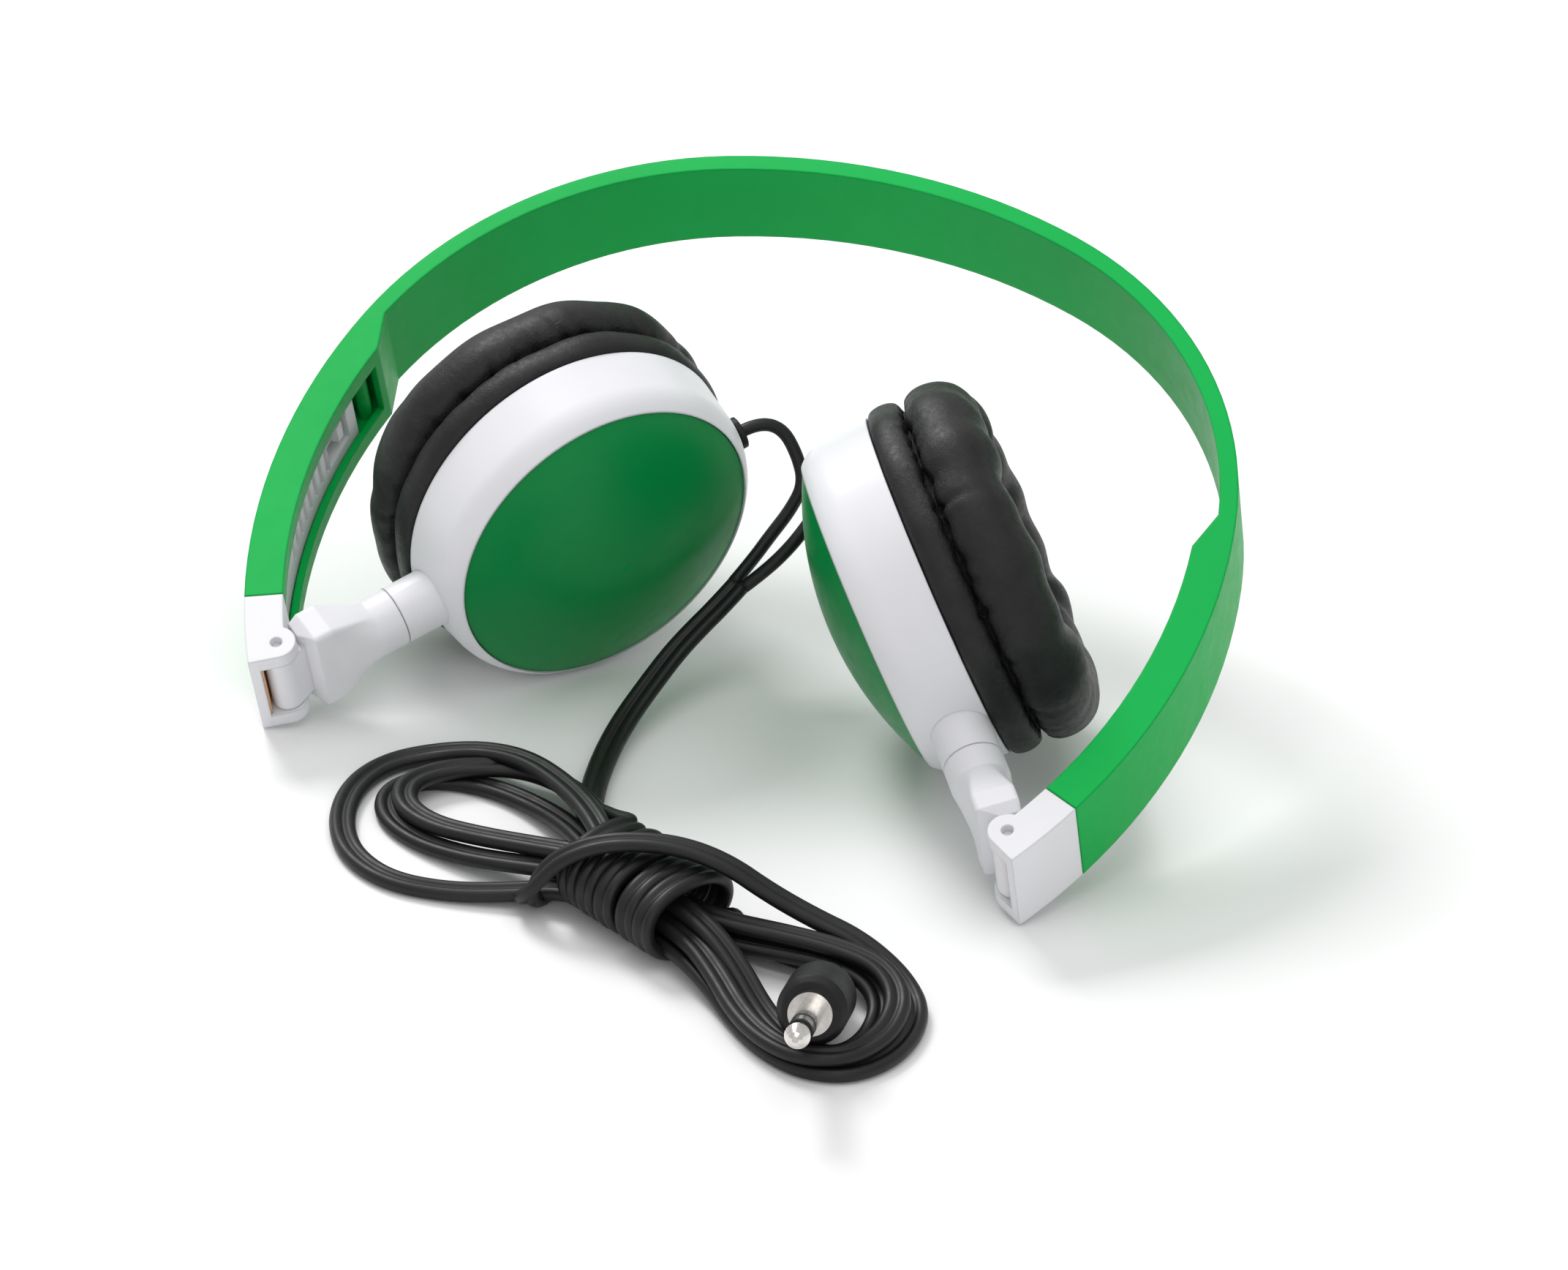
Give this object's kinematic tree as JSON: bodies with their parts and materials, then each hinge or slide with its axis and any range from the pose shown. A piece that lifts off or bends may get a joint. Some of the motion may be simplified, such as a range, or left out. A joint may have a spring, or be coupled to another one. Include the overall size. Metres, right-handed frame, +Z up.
{
  "type": "headset",
  "caption": "Folding on-ear stereo headset with telescoping headband ends, swivelling cushioned cups and a tied cable with a jack plug.",
  "frame": {"origin": "centre of the bottom of the folded headset's box, on the surface it lies on, leaving out the free cable and its plug", "axes": "+X across the headband, towards the wearer's right cup as worn; +Y towards the crown of the headband, which leans up; +Z up from the surface"},
  "size_m": [0.1376, 0.1615, 0.0598],
  "materials": {
    "band_plastic": "semi-gloss green, injection moulded",
    "hinge_plastic": "satin white, injection moulded",
    "arm_plastic": "satin white",
    "ring_plastic": "satin white",
    "cap_plastic": "satin-gloss green",
    "baffle_plastic": "matte black",
    "gland_rubber": "soft black",
    "grille_cloth": "open-weave cloth",
    "diaphragm_film": "thin film",
    "ear_leatherette": "soft leatherette",
    "copper_leaf": "bare copper alloy",
    "steel": "plain",
    "magnet_steel": "plated",
    "cable_jacket": "satin flexible jacket",
    "plug_moulding": "satin",
    "plug_metal": "nickel plated, polished",
    "plug_insulator": "matte"
  },
  "bodies": {
    "headband": {"headband": "band_plastic", "left_lead": "cable_jacket", "right_lead": "cable_jacket", "cable_run": "cable_jacket", "cable_hank": "cable_jacket", "plug_body": "plug_moulding", "plug_sleeve": "plug_metal", "plug_ring": "plug_metal", "plug_insulators": "plug_insulator", "plug_tip": "plug_metal"},
    "left_slider": {"left_slider": "hinge_plastic", "left_hinge_leaf": "copper_leaf", "left_fold_pin": "steel"},
    "left_arm": {"left_arm": "arm_plastic", "left_swivel_washer": "steel", "left_swivel_screw": "steel"},
    "left_cup": {"left_cup_ring": "ring_plastic", "left_cap": "cap_plastic", "left_cable_gland": "gland_rubber", "left_baffle": "baffle_plastic", "left_baffle_screws": "steel", "left_driver_grille": "grille_cloth", "left_driver_frame": "baffle_plastic", "left_driver_magnet": "magnet_steel", "left_driver_diaphragm": "diaphragm_film", "left_ear_cushion": "ear_leatherette"},
    "right_slider": {"right_slider": "hinge_plastic", "right_hinge_leaf": "copper_leaf", "right_fold_pin": "steel"},
    "right_arm": {"right_arm": "arm_plastic", "right_swivel_washer": "steel", "right_swivel_screw": "steel"},
    "right_cup": {"right_cup_ring": "ring_plastic", "right_cap": "cap_plastic", "right_cable_gland": "gland_rubber", "right_baffle": "baffle_plastic", "right_baffle_screws": "steel", "right_driver_grille": "grille_cloth", "right_driver_frame": "baffle_plastic", "right_driver_magnet": "magnet_steel", "right_driver_diaphragm": "diaphragm_film", "right_ear_cushion": "ear_leatherette"}
  },
  "joints": [
    {"name": "left_slider_extend", "type": "hinge", "parent": "headband", "child": "left_slider", "pos_m": [0.0187, -0.01046, 0.02522], "axis": [0, -0.4147, 0.91], "range_deg": [0, 14], "deforming": ["left_lead", "right_lead", "cable_run", "cable_hank", "plug_body", "plug_sleeve", "plug_ring", "plug_insulators", "plug_tip"]},
    {"name": "left_fold", "type": "hinge", "parent": "left_slider", "child": "left_arm", "pos_m": [-0.0546, -0.04631, 0.00888], "axis": [0, 0.4147, -0.91], "range_deg": [0, 138], "deforming": ["left_lead", "right_lead", "cable_run", "cable_hank", "plug_body", "plug_sleeve", "plug_ring", "plug_insulators", "plug_tip"]},
    {"name": "left_cup_swivel", "type": "hinge", "parent": "left_arm", "child": "left_cup", "pos_m": [-0.04369, -0.03328, 0.01482], "axis": [-0.606, -0.7238, -0.3299], "range_deg": [-19.8, 12.2], "deforming": ["left_lead", "right_lead", "cable_run", "cable_hank", "plug_body", "plug_sleeve", "plug_ring", "plug_insulators", "plug_tip"]},
    {"name": "right_slider_extend", "type": "hinge", "parent": "headband", "child": "right_slider", "pos_m": [-0.0187, -0.01046, 0.02522], "axis": [0, 0.4147, -0.91], "range_deg": [0, 14], "deforming": ["left_lead", "right_lead", "cable_run", "cable_hank", "plug_body", "plug_sleeve", "plug_ring", "plug_insulators", "plug_tip"]},
    {"name": "right_fold", "type": "hinge", "parent": "right_slider", "child": "right_arm", "pos_m": [0.0546, -0.04631, 0.00888], "axis": [0, -0.4147, 0.91], "range_deg": [0, 138], "deforming": ["left_lead", "right_lead", "cable_run", "cable_hank", "plug_body", "plug_sleeve", "plug_ring", "plug_insulators", "plug_tip"]},
    {"name": "right_cup_swivel", "type": "hinge", "parent": "right_arm", "child": "right_cup", "pos_m": [0.04369, -0.03328, 0.01482], "axis": [-0.606, 0.7238, 0.3299], "range_deg": [-3.9, 28.1], "deforming": ["left_lead", "right_lead", "cable_run", "cable_hank", "plug_body", "plug_sleeve", "plug_ring", "plug_insulators", "plug_tip"]}
  ]
}
